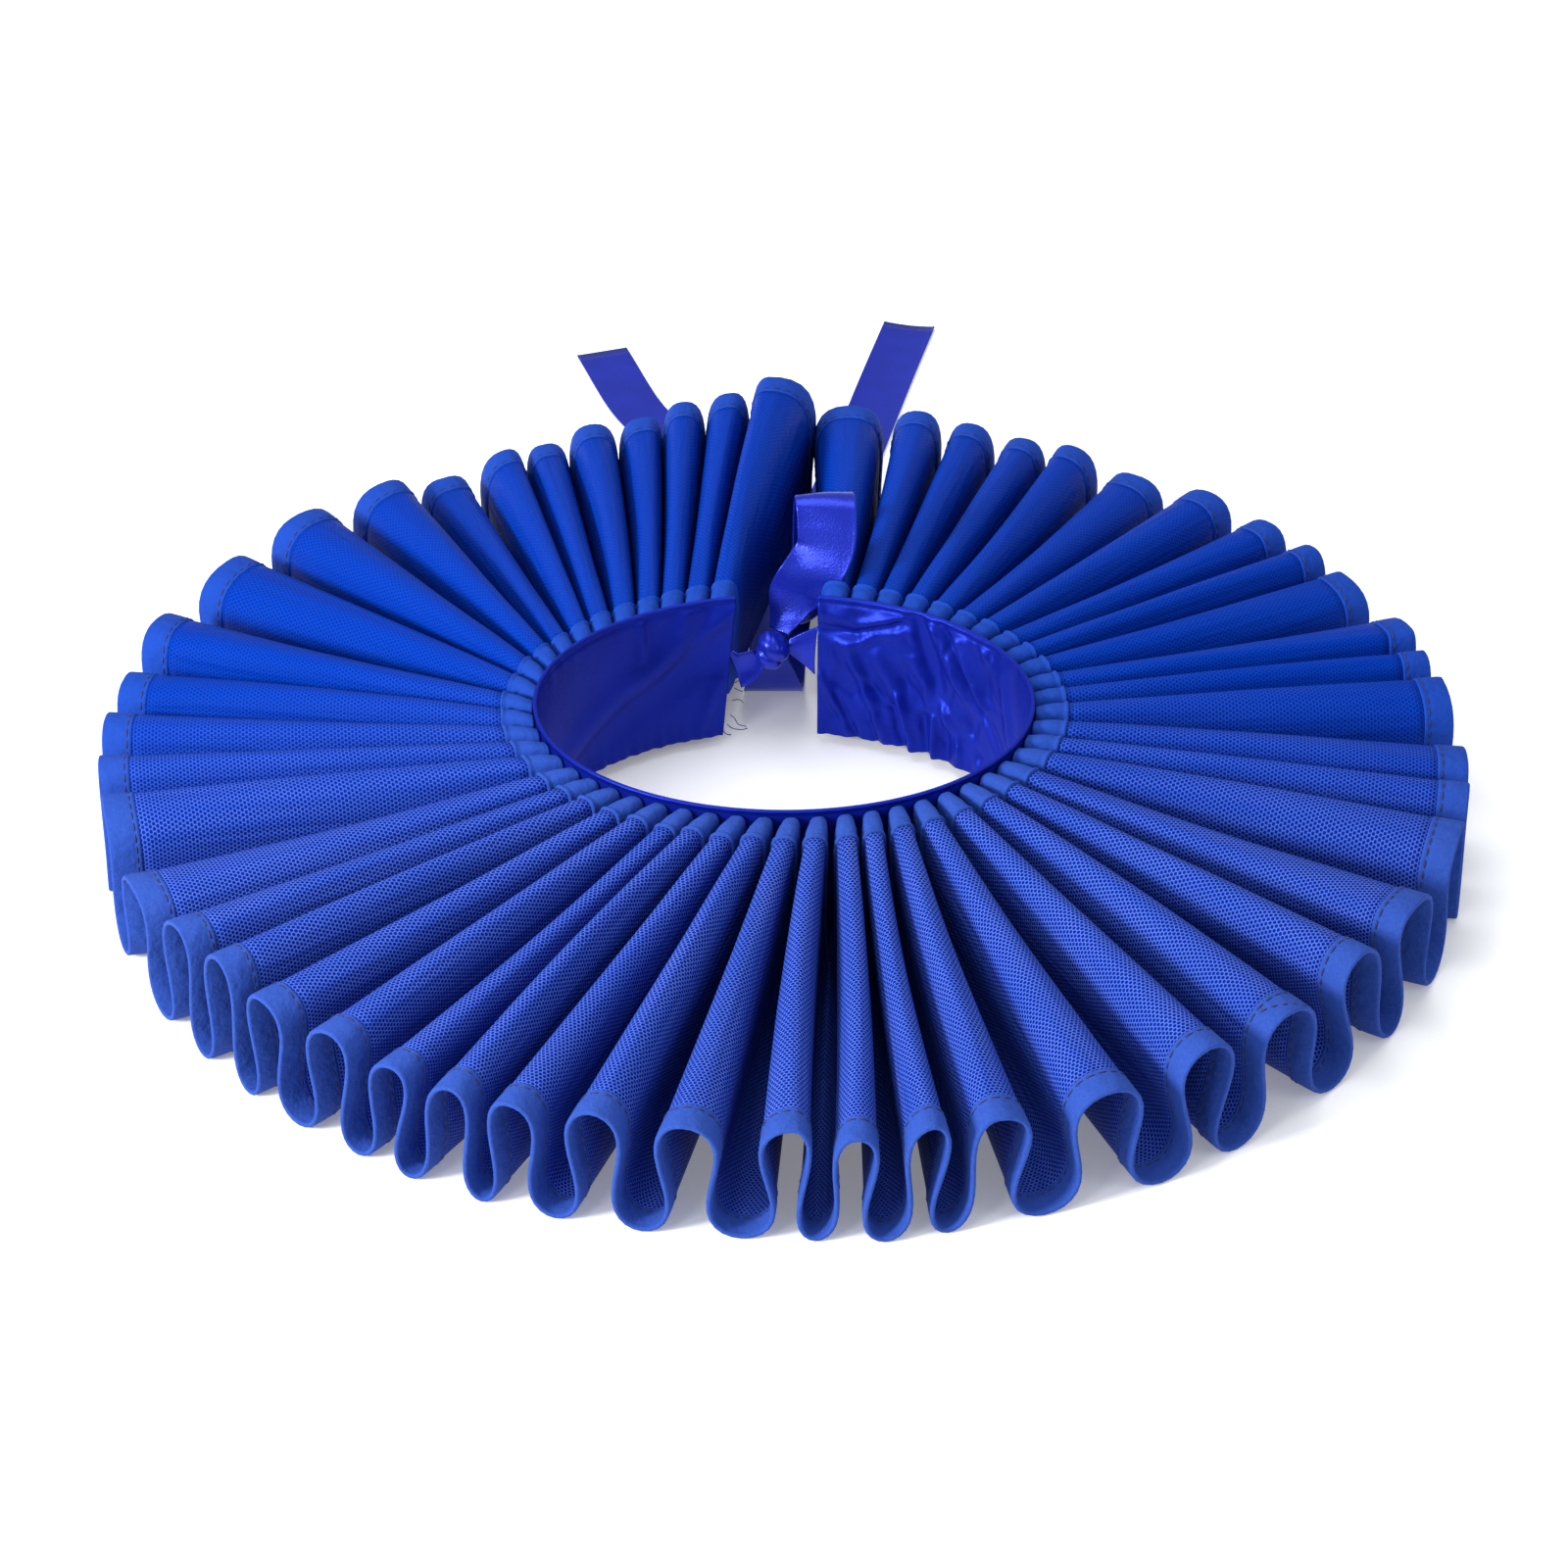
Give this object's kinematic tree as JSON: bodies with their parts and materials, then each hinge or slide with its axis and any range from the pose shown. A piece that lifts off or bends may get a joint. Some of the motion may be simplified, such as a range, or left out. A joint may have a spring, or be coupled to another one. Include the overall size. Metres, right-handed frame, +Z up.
{
  "type": "ruff collar",
  "caption": "Royal blue ruff collar: a net strip in deep figure-of-eight pleats, bound at both edges, on a satin neckband tied with ribbon at the back.",
  "frame": {"origin": "centre of the bottom of the whole object's box, on the surface that it stands on; the neck's centre is 61 mm in front of it, because the ribbon tails lie behind", "axes": "+Z up, the wearer's front towards -Y and the tied opening at the back towards +Y, +X to the right as seen from the front"},
  "size_m": [0.3552, 0.4514, 0.0646],
  "materials": {
    "net": "matte knitted net with small hexagonal holes",
    "binding": "matte woven tape, topstitched",
    "satin": "glossy satin with soft creases",
    "ribbon": "glossy satin ribbon"
  },
  "bodies": {
    "root": {"ruff_net": "net", "hem_binding": "binding", "neck_binding": "binding", "neckband": "satin", "tie_left": "ribbon", "tie_right": "ribbon", "tie_knot": "ribbon", "standing_ribbon": "ribbon", "left_tail": "ribbon"}
  },
  "joints": []
}
